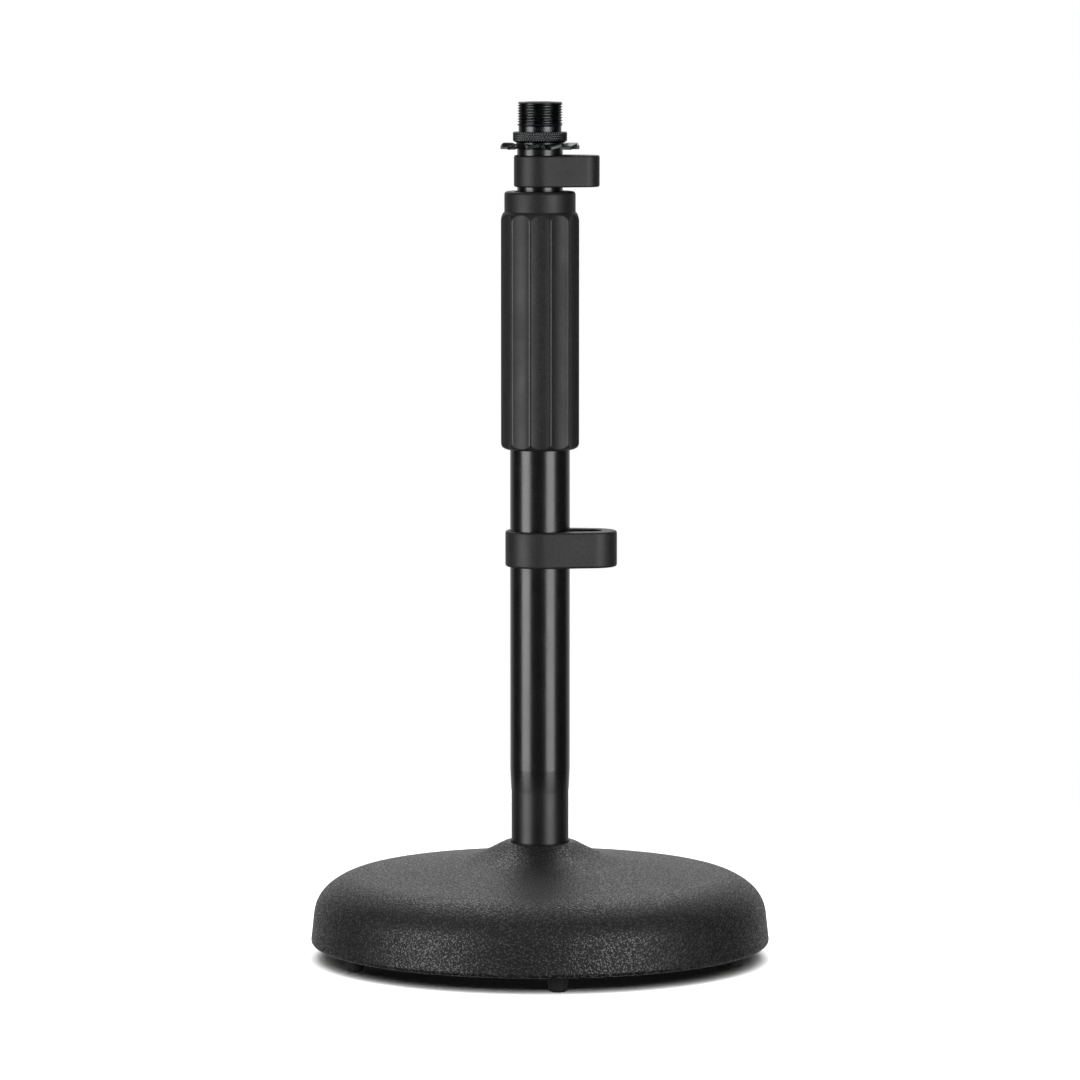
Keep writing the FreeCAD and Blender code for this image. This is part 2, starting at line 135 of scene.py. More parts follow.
class GripSizes(PropertyGroup):
    """The fluted twist sleeve."""

    flutes: IntProperty(name="Flutes", description="Number of flutes", default=12)
    phase: angle("Flute phase", 0.5, "Turn of the first flute from +X")
    flute_radius: length("Flute radius", 11.5, "Radius of each hollow flute")
    flute_floor: length("Flute floor", 13.2, "Radius of the flutes' floors")
    ridge_ease: length("Ridge easing", 0.6, "How softly two flutes meet in a ridge")
    edge_ease: length("Edge easing", 0.15, "How softly the flutes run out at the ends")
    outer_radius: length("Outer radius", 14.3, "Radius before fluting")
    shoulder: length("Shoulder", 81.7, "Height of the shoulder above the lower end")
    shoulder_round: length("Shoulder rounding", 5.6, "Radius of the shoulder")
    band_start: length("Band start", 83.4, "Height where the plain band starts")
    band_radius: length("Band radius", 12.5, "Radius of the plain band")
    bottom_round: length("Lower rounding", 3.2, "Radius of the lower edge")
    mouth: length("Mouth radius", 9.0, "Radius of the hole at the top")


class TopSizes(PropertyGroup):
    """The lock washer, the stud and the thread adapter."""

    teeth: IntProperty(name="Washer teeth", description="Number of teeth", default=10)
    tooth_phase: angle("Tooth phase", 7.0, "Turn of the first tooth from +X")
    tooth_width: length("Tooth width", 4.4, "Width of a tooth")
    tooth_twist: angle("Tooth twist", 12.0, "Twist of each tooth")
    tooth_tip: length("Tooth tip", 13.7, "Radius of the teeth's tips")
    washer_radius: length("Washer ring", 9.3, "Radius of the washer's ring")
    washer_bore: length("Washer bore", 5.0, "Radius of the washer's hole")
    washer: length("Washer thickness", 1.3, "Thickness of the washer's sheet")
    seat_radius: length("Seat radius", 8.3, "Radius of the adapter's seat")
    seat: length("Seat height", 0.75, "Height of the adapter's seat")
    flange_top: length("Flange top", 4.4, "Height of the knurled flange's top")
    neck_radius: length("Neck radius", 7.5, "Radius of the neck under the thread")
    thread_start: length("Thread start", 6.74, "Height where the thread begins")
    thread_radius: length("Thread radius", 7.9375, "Crest radius of the 5/8 inch thread")
    thread_pitch: length("Thread pitch", INCH / 27, "Pitch of the 5/8 inch-27 thread")
    stud_radius: length("Stud radius", 3 / 16 * INCH, "Crest radius of the 3/8 inch stud")
    stud_pitch: length("Stud pitch", INCH / 16, "Pitch of the 3/8 inch-16 thread")
    knurl_pitch: length("Knurl pitch", 0.95, "Spacing of the knurl's grooves")
    knurl_depth: length("Knurl depth", 0.26, "Depth of the knurl's grooves")
    knurl_lean: angle("Knurl lean", 32.0, "How far the knurl's grooves lean over")


class ClipSizes(PropertyGroup):
    """The two cable clips. Each pair of lengths is the upper clip's and the lower clip's."""

    end: lengths("Loop radii", (5.9, 9.2), "Radius of the far end")
    slot: lengths("Slots", (4.6, 6.3), "Half width of the cable slot at the tube's axis")
    slot_end: lengths("Slot ends", (3.4, 4.7), "Radius of the cable slot's far end")
    wall: lengths("End walls", (4.2, 5.2), "Thickness of the far wall")
    rounding: lengths("Roundings", (0.7, 0.9), "Radius of the outer edges")
    mouth_from: angle("Mouth from", 72.0, "Where the mouths begin, from +X")
    mouth_to: angle("Mouth to", 138.0, "Where the mouths end, from +X")


class Finishes(PropertyGroup):
    """Colours and grain of the finishes."""

    casting: colour("Casting", "#050505", "Crinkle powder coat on the cast base")
    crinkle: length("Crinkle", 0.65, "Width of one bead of the crinkle finish")
    enamel: colour("Tubes", "#0A0A0A", "Stoved enamel on both tubes")
    grip: colour("Grip", "#0C0C0D", "Moulded plastic of the grip")
    clip: colour("Clips", "#0D0D0D", "Moulded plastic of the cable clips")
    grain: length("Mould grain", 0.42, "Width of one grain of the moulded texture")
    # past this radius the grip is smoother from real polish and paler from a painted highlight
    # along its ridges
    polish_and_highlight_radius: length("Worn radius", 13.95, "Radius past which the grip is polished by hands")
    oxide: colour("Black oxide", "#393A3B", "Blackened steel of the top pieces")
    zinc: colour("Zinc", "#C3C6C9", "Zinc plate on the hidden fixings")
    brass: colour("Brass", "#D8B36A", "Turned brass of the clutch's threads")
    nylon: colour("Nylon", "#DAD6C8", "Natural nylon of the collet and the guide")
    rubber: colour("Rubber", "#060606", "Moulded rubber of the feet")
    paper: colour("Floor", "#F6F6F5", "Sheet that the stand is on")


class StudioSizes(PropertyGroup):
    """The camera, the sheet on the table and the lights."""

    camera_distance: length("Camera distance", 2200.0, "Distance in front of the pole")
    camera_height: length("Camera height", 357.0, "Height above the table")
    camera_pitch: angle("Camera pitch", 5.403, "How far the camera looks down")
    focal_length: FloatProperty(name="Focal length", description="Focal length in millimetres",
                                default=209.33)
    sheet_radius: length("Sheet radius", 450.0, "Radius of the sheet")


# --- surfaces


def unit(vectors):
    """Each vector divided by its own length."""
    return vectors / np.linalg.norm(vectors, axis=-1, keepdims=True)


def ramp(values, low, high):
    """0 below low, 1 above high and a smooth cubic step between them."""
    share = np.clip((values - low) / (high - low), 0, 1)
    return share * share * (3 - 2 * share)


def between(values, low, high, fade):
    """1 between low and high and 0 outside, fading in and out over a distance inside them."""
    return ramp(values, low, low + fade) * (1 - ramp(values, high - fade, high))


def soft_least(one, other, ease):
    """The smaller of two lengths, blended by a parabola where they differ by less than ease."""
    share = np.clip(0.5 + 0.5 * (other - one) / ease, 0, 1)
    return other * (1 - share) + one * share - ease * share * (1 - share)


def outline(corners, ring=True, dense=None, arc_points=9):
    """An outline through corners (radius, height, rounding).

    Each corner is an arc of arc_points points between the two tangent points, worked out by turning
    one radius on to the other, with one more point a hair before and after it, so that flat
    stretches shade flat. dense gives, for a corner's number, the longest step of the stretch that
    follows it. Without ring the first and last corners lie on the axis and stay sharp."""
    corners = np.array(corners, dtype=float)
    places, rounding = corners[:, :2], corners[:, 2]
    back = unit(np.roll(places, 1, axis=0) - places)
    on = unit(np.roll(places, -1, axis=0) - places)
    half = np.arccos(np.clip(np.sum(back * on, axis=1), -1, 1)) / 2
    tangent = (rounding / np.tan(half))[:, None]
    centre = places + unit(back + on) * (rounding / np.sin(half))[:, None]
    start, end = places + back * tangent, places + on * tangent
    sweep = (math.pi - 2 * half)[:, None, None]
    share = np.linspace(0, 1, arc_points)[None, :, None]
    arcs = np.sin((1 - share) * sweep) * (start - centre)[:, None]
    arcs = arcs + np.sin(share * sweep) * (end - centre)[:, None]
    arcs = arcs / np.sin(sweep) + centre[:, None]
    hair = np.minimum(0.1 * rounding, 0.08 * MM)[:, None]
    before, after = start + back * hair, end + on * hair
    stretches = []
    last = len(corners) - 1
    for number in range(len(corners)):
        if not ring and number in (0, last):
            stretches.append(places[number:number + 1])
        else:
            stretches += [before[number:number + 1], arcs[number], after[number:number + 1]]
        if dense and number in dense:
            head, tail = stretches[-1][-1], before[(number + 1) % len(corners)]
            steps = max(2, math.ceil(np.linalg.norm(tail - head) / dense[number]))
            stretches.append(head + (tail - head) * np.linspace(0, 1, steps + 1)[1:-1, None])
    return np.concatenate(stretches)


def turned(points, columns=128, shape=None, centre=(0, 0)):
    """The surface of an outline turned about an upright axis: x and y are the radius times the
    cosine and sine of the angle. shape(radius, height, angle) may change radius and height."""
    turn = np.linspace(0, FULL_TURN, columns, endpoint=False)
    radius, angles = np.meshgrid(points[:, 0], turn, indexing="ij")
    height = np.broadcast_to(points[:, 1:2], radius.shape)
    if shape:
        radius, height = shape(radius, height, angles)
    across = centre[0] + radius * np.cos(angles)
    along = centre[1] + radius * np.sin(angles)
    return np.stack([across, along, height], axis=-1)


def grid_faces(rows, columns, ring):
    """Quads between neighbouring rows and columns. Columns close round, and so do a ring's rows."""
    index = np.arange(rows * columns).reshape(rows, columns)
    beside = np.roll(index, -1, axis=1)
    after = np.roll(index, -1, axis=0)
    quads = np.stack([index, beside, np.roll(after, -1, axis=1), after], axis=-1)
    return (quads if ring else quads[:-1]).reshape(-1, 4)


def enclosed(points, faces):
    """Six times the volume inside the quads, negative where they face inwards."""
    a, b, c, d = (points[faces[:, corner]] for corner in range(4))
    return np.sum(a * np.cross(b, c)) + np.sum(a * np.cross(c, d))


def make_piece(part, material, *grids, capped=False):
    """One closed, smooth object that stands for a CAD node and rides on its body.

    Each grid of points closes on its first row again, unless its end rows are points on the axis,
    which are merged there, or are capped by a face each."""
    points, faces, count = [], [], 0
    for grid in grids:
        rows, columns = grid.shape[:2]
        flat = grid.reshape(-1, 3)
        ring = not capped and np.ptp(grid[0], axis=0).any()
        quads = grid_faces(rows, columns, ring)
        caps = [np.arange(columns)[::-1], np.arange((rows - 1) * columns, rows * columns)]
        if enclosed(flat - flat.mean(axis=0), quads) < 0:
            quads, caps = quads[:, ::-1], [cap[::-1] for cap in caps]
        points.append(flat)
        faces += (quads + count).tolist()
        if capped:
            faces += [(cap + count).tolist() for cap in caps]
        count += len(flat)
    mesh = bpy.data.meshes.new(f"{part}_surface")
    mesh.from_pydata(np.concatenate(points).tolist(), [], faces)
    merge_points(mesh)
    mesh.shade_smooth()
    mesh.materials.append(finish(material))
    piece = bpy.data.objects.new(f"{part}_visual", mesh)
    bpy.context.scene.collection.objects.link(piece)
    bodies = frame["record"]["behaviour"]["bodies"]
    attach(piece, next(body for body, parts in bodies.items() if part in parts))
    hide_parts(part)


def merge_points(mesh):
    """Merge the points of a row that has shrunk to nothing."""
    work = bmesh.new()
    work.from_mesh(mesh)
    bmesh.ops.remove_doubles(work, verts=work.verts, dist=1e-7)
    work.to_mesh(mesh)
    work.free()


def reach(part):
    """Lowest height, highest height and largest radius about the pole of a turned part."""
    low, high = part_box(part)
    return low.z, high.z, (high.x - low.x) / 2


def threaded(pitch, crest, low, high):
    """A shape for turned(): a V thread cut along a right-hand helix from the crest radius between
    two heights, fading in and out over part of a turn. Crest and root take up a tenth and a quarter
    of the pitch, with straight flanks between them."""
    crest_share, root_share = 0.1, 0.25

    def shape(radius, height, angles):
        away = np.abs(2 * np.mod(height / pitch - angles / FULL_TURN, 1) - 1)
        groove = np.clip((1 - crest_share - away) / (1 - crest_share - root_share), 0, 1)
        cut = between(height, low, high, 0.6 * pitch) * (np.abs(radius - crest) < 0.02 * MM)
        return radius - THREAD_DEPTH * pitch * groove * cut, height

    return shape


def ring_shape(inner, outer, low, high, edge=0.3 * MM, dense=None):
    """The outline of a plain ring with eased edges."""
    corners = [(inner, low, edge), (outer, low, edge), (outer, high, edge), (inner, high, edge)]
    return outline(corners, dense=dense)


def cut_ring(section, gap):
    """A section carried round the pole from one side of a cut to the other: x and y are its radius
    times the cosine and sine of the angle. gap is half the cut's angle."""
    turn = np.linspace(gap, FULL_TURN - gap, 96)[:, None]
    across, along = np.cos(turn) * section[:, 0], np.sin(turn) * section[:, 0]
    return np.stack([across, along, np.broadcast_to(section[:, 1], across.shape)], axis=-1)


# --- materials


def node(owner, kind, inputs=None, output=0, **settings):
    """Add a node to a material or world, set its properties, feed its inputs from numbers or from
    other nodes' outputs, and return one of its own outputs."""
    made = owner.node_tree.nodes.new(f"ShaderNode{kind}")
    for key, value in settings.items():
        setattr(made, key, value)
    for key, value in (inputs or {}).items():
        if isinstance(value, bpy.types.NodeSocket):
            owner.node_tree.links.new(value, made.inputs[key])
        else:
            made.inputs[key].default_value = value
    return made.outputs[output] if made.outputs else None


def open_material(name):
    """An empty node material, and the object's own coordinates to hang its patterns on."""
    material = bpy.data.materials.new(name)
    material.use_nodes = True
    material.node_tree.nodes.clear()
    return material, node(material, "TexCoord", output="Object")


def close_material(material, base, factor, share, height, relief, shader):
    """Add the shader: its colour runs from base to base times factor by a share from 0 to 1, and
    its normal follows a height pattern with this real relief."""
    other = [min(1.0, part * factor) for part in base]
    tone = node(material, "Mix", {"Factor": share, 6: (*base, 1), 7: (*other, 1)}, 2,
                data_type="RGBA")
    normal = node(material, "Bump", {"Height": height, "Distance": relief})
    surface = node(material, "BsdfPrincipled", {"Base Color": tone, "Normal": normal, **shader})
    node(material, "OutputMaterial", {"Surface": surface})
    return material


def crinkle_powder_coat(finishes):
    """Polyester powder stoved so that it shrinks into small beads on the casting: a near-black skin
    whose beads catch the light in grey sparkle, bead by bead. The sparkle is partly the beads' real
    gloss and partly painted glints, a grey painted into the colour on the beads' tops."""
    material, place = open_material("crinkle_powder_coat")
    scale = 1 / finishes.crinkle
    cells = node(material, "TexVoronoi", {"Vector": place, "Scale": scale, "Smoothness": 0.3},
                 feature="SMOOTH_F1")
    lumps = node(material, "TexNoise", {"Vector": place, "Scale": scale, "Detail": 1.5,
                                        "Roughness": 0.6})
    beads = node(material, "Math", {0: cells, 1: -0.6, 2: lumps}, operation="MULTIPLY_ADD")
    # painted glints: on the beads' tops the colour turns twenty times lighter, a grey that stands
    # in for their sparkle; the gloss below is the beads' real shine
    share = node(material, "MapRange", {"Value": beads, "From Min": 0.25, "From Max": 0.36})
    gloss = node(material, "MapRange", {"Value": beads, "From Min": 0.15, "From Max": 0.38,
                                        "To Min": 0.6, "To Max": 0.28})
    return close_material(material, finishes.casting, 20, share, beads, 0.14 * MM,
                          {"Roughness": gloss, "Specular IOR Level": 0.38})


def stoved_enamel(finishes):
    """Gloss black enamel stoved on steel tube: clear reflections with a trace of orange peel. It is
    duller on the outer tube's reduced lower end, where the steel under it is rougher."""
    sizes, low = bpy.context.scene.mic_stand_tubes, reach("outer_tube")[0]
    material, place = open_material("stoved_enamel")
    haze = node(material, "TexNoise", {"Vector": place, "Scale": 1 / (9 * MM), "Detail": 3.0})
    peel = node(material, "TexNoise", {"Vector": place, "Scale": 1 / (2.5 * MM), "Detail": 1.0})
    height = node(material, "SeparateXYZ", {"Vector": place}, "Z")
    worked = node(material, "MapRange", {"Value": height, "From Min": low + sizes.swage_start,
                                         "From Max": low + sizes.swage_end,
                                         "To Min": 0.13, "To Max": 0.0})
    clear = node(material, "MapRange", {"Value": haze, "From Min": 0.3, "From Max": 0.7,
                                        "To Min": 0.23, "To Max": 0.28})
    roughness = node(material, "Math", {0: clear, 1: worked}, operation="ADD")
    return close_material(material, finishes.enamel, 1.4, haze, peel, 0.006 * MM,
                          {"Roughness": roughness, "IOR": 1.5})


def grained_plastic(name, base, grain, roughness, relief, level, polish_and_highlight_radius=None):
    """Plastic from a spark-eroded mould: satin, with an even grain that breaks up its highlights.
    The real grain, about 0.1 mm, is too fine to show and is drawn coarser. Past the radius given
    last, hands have polished it smoother, and a painted highlight makes its colour paler there,
    along the ridges."""
    material, place = open_material(name)
    fine = node(material, "TexNoise", {"Vector": place, "Scale": 1 / grain, "Roughness": 0.6})
    broad = node(material, "TexNoise", {"Vector": place, "Scale": 1 / (14 * MM)})
    share = node(material, "MapRange", {"Value": fine, "From Min": 0.4, "From Max": 0.6})
    sheen = node(material, "MapRange", {"Value": broad, "From Min": 0.3, "From Max": 0.7,
                                        "To Min": roughness - 0.04, "To Max": roughness + 0.05})
    if polish_and_highlight_radius:
        across = node(material, "VectorMath", {0: place, 1: (1, 1, 0)}, operation="MULTIPLY")
        away = node(material, "VectorMath", {0: across}, "Value", operation="LENGTH")
        polish_and_highlight = node(material, "MapRange", {"Value": away, "From Min": polish_and_highlight_radius,
                                             "From Max": polish_and_highlight_radius + 0.35 * MM})
        # painted highlight: past that radius the colour is made paler along the ridges; the lower
        # roughness there is real polish
        share = node(material, "Math", {0: share, 1: polish_and_highlight}, operation="MAXIMUM")
        sheen = node(material, "Math", {0: polish_and_highlight, 1: -0.34, 2: sheen}, operation="MULTIPLY_ADD")
    return close_material(material, base, 3.0, share, fine, relief,
                          {"Roughness": sheen, "Specular IOR Level": level})


def worked_metal(name, base, roughness, stretch=40):
    """Metal with its tool's marks, drawn out round the axis on a turned part and even on a tumbled
    one, and a little haze from plating or handling. The marks are drawn 0.12 mm apart, coarser than
    the real ones, so that they show."""
    material, place = open_material(name)
    rings = node(material, "Mapping", {"Vector": place, "Scale": (stretch, stretch, 1)},
                 vector_type="TEXTURE")
    marks = node(material, "TexNoise", {"Vector": rings, "Scale": 1 / (0.12 * MM), "Detail": 1.0})
    haze = node(material, "TexNoise", {"Vector": place, "Scale": 1 / (2.2 * MM), "Detail": 3.0})
    sheen = node(material, "MapRange", {"Value": haze, "From Min": 0.3, "From Max": 0.7,
                                        "To Min": roughness - 0.03, "To Max": roughness + 0.1})
    return close_material(material, base, 1.25, haze, marks, 0.0015 * MM,
                          {"Roughness": sheen, "Metallic": 1.0})


def plain_material(name, base, factor, broad, fine, detail, relief, shader):
    """A material with an even surface: a broad, cloudy pattern in its colour and a fine relief."""
    material, place = open_material(name)
    cloud = node(material, "TexNoise", {"Vector": place, "Scale": 1 / broad, "Detail": detail})
    fine = node(material, "TexNoise", {"Vector": place, "Scale": 1 / fine})
    return close_material(material, base, factor, cloud, fine, relief, shader)


def finish(name):
    """The material of this name, made the first time that it is asked for."""
    if name in bpy.data.materials:
        return bpy.data.materials[name]
    finishes = bpy.context.scene.mic_stand_finishes
    grain = finishes.grain
    makers = {
        "crinkle_powder_coat": lambda: crinkle_powder_coat(finishes),
        "stoved_enamel": lambda: stoved_enamel(finishes),
        # ABS from a lightly etched mould: satin black, with ridges that hands have polished
        # smoother and a painted highlight, a paler colour, along them.
        "moulded_abs": lambda: grained_plastic(name, finishes.grip, grain, 0.5, 0.012 * MM, 0.37,
                                               finishes.polish_and_highlight_radius),
        # Polypropylene, bendable and waxy: duller, and more deeply grained.
        "moulded_polypropylene":
            lambda: grained_plastic(name, finishes.clip, grain, 0.5, 0.018 * MM, 0.38),
        # Steel blackened in a hot oxide bath: dark, with bright edges and a metal's shine.
        "black_oxide_steel": lambda: worked_metal(name, finishes.oxide, 0.24),
        # The same finish on stamped and tumbled spring steel: duller, with no rings.
        "tumbled_spring_steel": lambda: worked_metal(name, finishes.oxide, 0.38, 1),
        # Steel with clear zinc plate: pale grey and slightly cloudy.
        "zinc_plated_steel": lambda: worked_metal(name, finishes.zinc, 0.34),
        # Free-cutting brass as it comes off the lathe: warm yellow.
        "turned_brass": lambda: worked_metal(name, finishes.brass, 0.28),
        # Unfilled nylon, moulded: waxy, off-white and slightly cloudy.
        "natural_nylon": lambda: plain_material(
            name, finishes.nylon, 0.88, 3 * MM, 0.4 * MM, 2.0, 0.01 * MM,
            {"Roughness": 0.42, "IOR": 1.53, "Subsurface Weight": 0.1}),
        # Black rubber, moulded: dull, with a faint bloom.
        "moulded_rubber": lambda: plain_material(
            name, finishes.rubber, 2.0, 1.8 * MM, 0.3 * MM, 3.0, 0.02 * MM,
            {"Roughness": 0.78, "IOR": 1.52}),
        # The studio's white sheet, uncoated paper: even and without shine.
        "matte_paper": lambda: plain_material(
            name, finishes.paper, 0.99, 30 * MM, 30 * MM, 2.0, 0.01 * MM,
            {"Roughness": 0.95, "IOR": 1.4}),
    }
    return makers[name]()


# --- pieces


def feet():
    """Name and box of each foot."""
    names = [name for name in frame["nodes"] if name.startswith("rubber_foot")]
    return [(name, *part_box(name)) for name in sorted(names)]


class MICSTAND_OT_base(Operator):
    """Build the cast base with its hub, hollow underside, bolt boss and foot bosses"""

    bl_idname = "micstand.base"
    bl_label = "Cast base"

    def execute(self, context):
        sizes = context.scene.mic_stand_base
        rim, top, radius = reach("base_casting")
        radius += 0.17 * MM  # what the rounding of the side's two corners takes off it
        socket = reach("outer_tube")[2] - context.scene.mic_stand_tubes.swage + 0.15 * MM
        inner = radius - sizes.wall
        boss, floor = top - sizes.boss_depth, top - sizes.socket_depth
        roof, haunch = top - 11.3 * MM, top - 17.9 * MM
        bolt_hole, foot_boss_height = 5.5 * MM, 17 * MM
        edge = 0.5 * MM
        body = outline([
            (inner, rim, edge), (radius, rim, 1.5 * MM),
            (radius - sizes.draft, top - sizes.shoulder_drop, sizes.shoulder_round),
            (radius - sizes.crown_inset, top - sizes.crown_drop, sizes.crown_round),
            (sizes.hub_foot, top - sizes.hub_foot_drop, sizes.hub_blend),
            (sizes.hub_radius, top, 1.2 * MM), (socket, top, 0.4 * MM),
            (socket, floor, edge), (bolt_hole, floor, edge),
            (bolt_hole, boss, edge), (sizes.boss_radius, boss, 1 * MM),
            (sizes.boss_radius, roof, 4 * MM), (inner - 8.5 * MM, haunch, 12 * MM),
            (inner - 1.5 * MM, rim + 10 * MM, 5 * MM),
        ], arc_points=17)
        ring = ring_shape(sizes.foot_stem, sizes.foot_boss, rim, rim + foot_boss_height, 0.4 * MM)
        bosses = [turned(ring, 48, centre=((low + high) / 2).xy) for _, low, high in feet()]
        make_piece("base_casting", "crinkle_powder_coat", turned(body, 256), *bosses)
        return {"FINISHED"}


class MICSTAND_OT_feet(Operator):
    """Build the five push-in rubber feet"""

    bl_idname = "micstand.feet"
    bl_label = "Rubber feet"

    def execute(self, context):
        stem = context.scene.mic_stand_base.foot_stem
        rim = reach("base_casting")[0]
        for name, low, high in feet():
            radius = (high.x - low.x) / 2
            foot = outline([
                (0, low.z, 0), (radius - 0.4 * MM, low.z, 0.6 * MM),
                (radius, rim, 0.25 * MM), (stem, rim, 0.2 * MM),
                (stem, high.z, 0.4 * MM), (0, high.z, 0),
            ], ring=False)
            make_piece(name, "moulded_rubber", turned(foot, 64, centre=((low + high) / 2).xy))
        return {"FINISHED"}


class MICSTAND_OT_fixings(Operator):
    """Build the bolt, its washers and the plug that hold the outer tube down in the base"""

    bl_idname = "micstand.fixings"
    bl_label = "Base fixings"

    def execute(self, context):
        sizes = context.scene.mic_stand_base
        zinc = "zinc_plated_steel"
        low, high, corner = reach("base_bolt")
        head = low + 6.4 * MM
        flat = corner * math.cos(math.pi / 6)
        shank, plain, point = 5 * MM, 5 * MM, 1 * MM
        bolt = outline([
            (0, low, 0), (flat - 0.3 * MM, low, 0.4 * MM),
            (corner, low + 1.1 * MM, 0.2 * MM), (corner, head, 0.2 * MM),
            (shank, head, 0.3 * MM), (shank, high - point, 0.2 * MM),
            (shank - point, high, 0.2 * MM), (0, high, 0),
        ], ring=False, dense={2: 1 * MM, 4: 0.15 * MM})
        thread = threaded(sizes.bolt_pitch, shank, head + plain, high - point)

        def hexagon(radius, height, angles):
            """The least of the turned radius and the distance to the nearest of six flats."""
            away = np.mod(angles, math.pi / 3) - math.pi / 6
            flats = np.where(height < head + 0.1 * MM, flat / np.cos(away), 1)
            return thread(soft_least(radius, flats, 0.15 * MM), height, angles)

        make_piece("base_bolt", zinc, turned(bolt, 192, hexagon))
        for name in ("bolt_flat_washer", "tube_bottom_plug"):
            low, high, radius = reach(name)
            make_piece(name, zinc, turned(ring_shape(shank, radius, low, high)))
        low, high, radius = reach("bolt_spring_washer")
        washer = cut_ring(ring_shape(shank, radius, low, high, 0.25 * MM), math.radians(7))
        make_piece("bolt_spring_washer", zinc, washer, capped=True)
        return {"FINISHED"}


class MICSTAND_OT_tubes(Operator):
    """Build the outer tube with its reduced lower end, and the sliding inner tube"""

    bl_idname = "micstand.tubes"
    bl_label = "Tubes"

    def execute(self, context):
        sizes = context.scene.mic_stand_tubes
        enamel = "stoved_enamel"
        low, high, radius = reach("outer_tube")
        edge = 0.4 * MM
        small = radius - sizes.swage
        start, end = low + sizes.swage_start, low + sizes.swage_end
        bend = 12 * MM
        outer = outline([
            (small - sizes.wall, low, edge), (small, low, edge),
            (small, start, bend), (radius, end, bend),
            (radius, high, edge), (radius - sizes.wall, high, edge),
            (radius - sizes.wall, end, bend), (small - sizes.wall, start, bend),
        ])
        make_piece("outer_tube", enamel, turned(outer, 160))
        low, high, radius = reach("inner_tube")
        inner = ring_shape(radius - sizes.mast_wall, radius, low, high, edge)
        make_piece("inner_tube", enamel, turned(inner, 144))
        return {"FINISHED"}


class MICSTAND_OT_clutch(Operator):
    """Build the clutch inside the grip: bush, split collet, thread insert and guide bush"""

    bl_idname = "micstand.clutch"
    bl_label = "Clutch"

    def execute(self, context):
        sizes = context.scene.mic_stand_tubes
        mast = reach("inner_tube")[2]
        bore = mast + RUNNING_GAP
        edge = 0.25 * MM
        low, high, radius = reach("clutch_bush")
        stem = reach("outer_tube")[2] - sizes.wall
        shoulder = low + sizes.bush_stem
        bush = outline([
            (bore, low, edge), (stem, low, edge),
            (stem, shoulder, edge), (radius, shoulder, edge),
            (radius, high, edge), (bore, high, edge),
        ], dense={3: 0.15 * MM})
        thread = threaded(sizes.clutch_pitch, radius, shoulder, high)
        make_piece("clutch_bush", "turned_brass", turned(bush, 160, thread))
        low, high, radius = reach("grip_thread_insert")
        insert = ring_shape(reach("clutch_bush")[2] + 0.08 * MM, radius, low, high, edge)
        make_piece("grip_thread_insert", "turned_brass", turned(insert))
        nylon = "natural_nylon"
        low, high, radius = reach("clutch_collet")
        tip, slit = 9.3 * MM, 0.75 * MM / bore
        collet = outline([
            (bore, low, 0.2 * MM), (radius, low, 0.3 * MM),
            (radius, low + 3 * MM, 1 * MM), (tip, high, 0.3 * MM),
            (bore, high, 0.2 * MM),
        ])
        make_piece("clutch_collet", nylon, cut_ring(collet, slit), capped=True)
        low, high, radius = reach("guide_bush")
        hole, lip = 6.2 * MM, low + 3 * MM
        guide = outline([
            (hole, low, 0.4 * MM), (radius, low, 0.6 * MM),
            (radius, high, 0.5 * MM), (mast, high, 0.2 * MM),
            (mast, lip, 0.2 * MM), (hole, lip, 0.2 * MM),
        ])
        make_piece("guide_bush", nylon, turned(guide))
        return {"FINISHED"}


class MICSTAND_OT_grip(Operator):
    """Build the fluted twist sleeve with its plain top band"""

    bl_idname = "micstand.grip"
    bl_label = "Grip"

    def execute(self, context):
        sizes = context.scene.mic_stand_grip
        low, high, _ = reach("grip")
        bore = reach("outer_tube")[2] + 0.3 * MM
        insert_low, insert_high, insert = reach("grip_thread_insert")
        taper, taper_top = 11.25 * MM, low + 87.6 * MM
        wall = outline([
            (bore, low, 0.3 * MM), (sizes.outer_radius, low, sizes.bottom_round),
            (sizes.outer_radius, low + sizes.shoulder, sizes.shoulder_round),
            (sizes.band_radius, low + sizes.band_start, 0.25 * MM),
            (sizes.band_radius, high, 1.2 * MM), (sizes.mouth, high, 0.4 * MM),
            (sizes.mouth, taper_top, 0.4 * MM), (taper, insert_high, 0.2 * MM),
            (insert, insert_high, 0.2 * MM), (insert, insert_low, 0.2 * MM),
            (bore, insert_low, 0.2 * MM),
        ], dense={1: 3 * MM, 2: 0.1 * MM}, arc_points=25)

        def fluted(radius, height, angles):
            """The least of the turned radius and the near sides of the two nearest flutes' circles,
            eased where they meet."""
            share = FULL_TURN / sizes.flutes
            away = np.abs(np.mod(angles - sizes.phase + share / 2, share) - share / 2)
            centre = sizes.flute_floor + sizes.flute_radius

            def flute(offset):
                """Distance to a circle whose centre lies this angle round from here."""
                side = centre * np.sin(offset)
                inside = np.maximum(sizes.flute_radius ** 2 - side ** 2, 0)
                return centre * np.cos(offset) - np.sqrt(inside)

            flutes = soft_least(flute(away), flute(share - away), sizes.ridge_ease)
            return soft_least(radius, flutes, sizes.edge_ease), height

        make_piece("grip", "moulded_abs", turned(wall, 24 * sizes.flutes, fluted))
        return {"FINISHED"}


